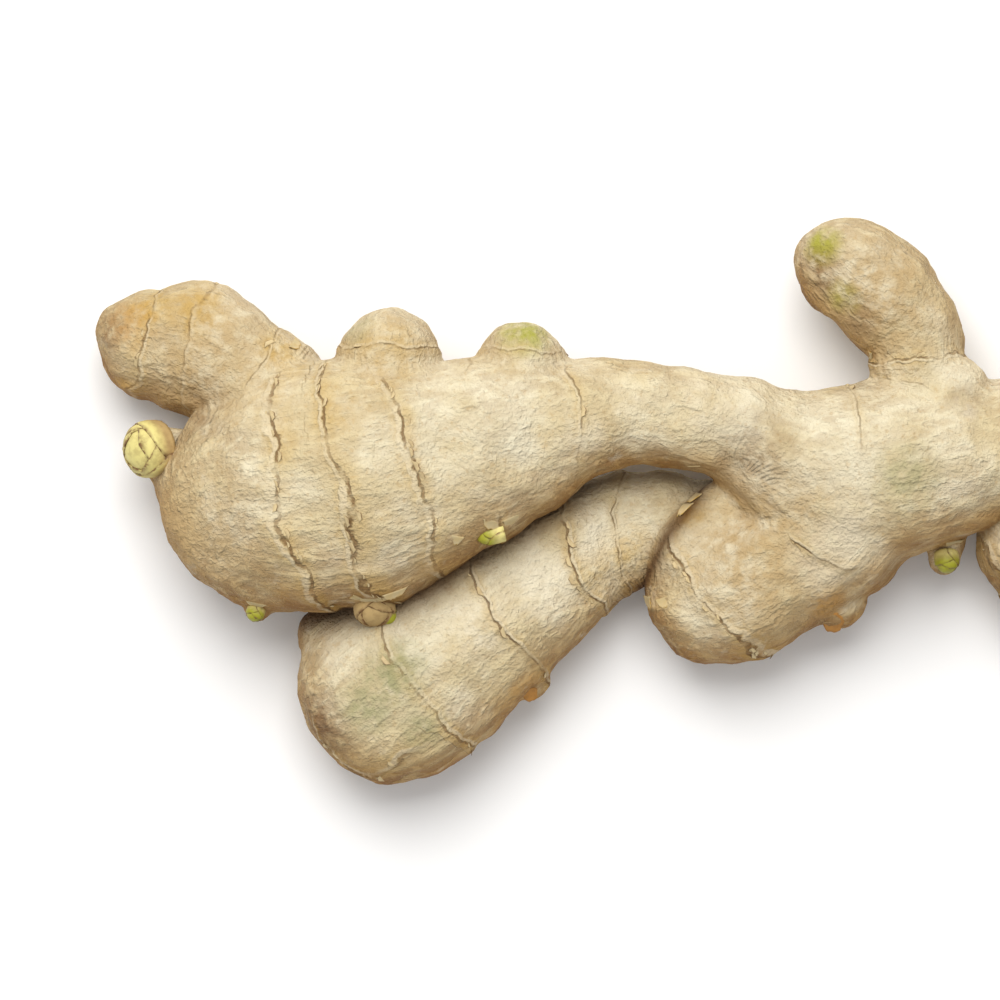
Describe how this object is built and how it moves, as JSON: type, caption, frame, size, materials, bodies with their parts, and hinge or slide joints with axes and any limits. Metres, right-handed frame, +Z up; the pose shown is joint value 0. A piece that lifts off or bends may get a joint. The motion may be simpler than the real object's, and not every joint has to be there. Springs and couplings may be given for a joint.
{
  "type": "ginger root",
  "caption": "Whole ginger root lying on its side: fused branching limbs with blunt thumbs, low knobs and buds.",
  "frame": {"origin": "middle of the root's box in plan, at the height of the worktop it rests on", "axes": "+X along the root's length, from the fat palm and its thumb towards the far end; +Y across it, towards the side that carries the knobs; +Z up from the worktop"},
  "size_m": [0.1729, 0.0911, 0.0341],
  "materials": {
    "ginger_skin": null
  },
  "bodies": {
    "root": {"ginger_root": "ginger_skin"}
  },
  "joints": []
}
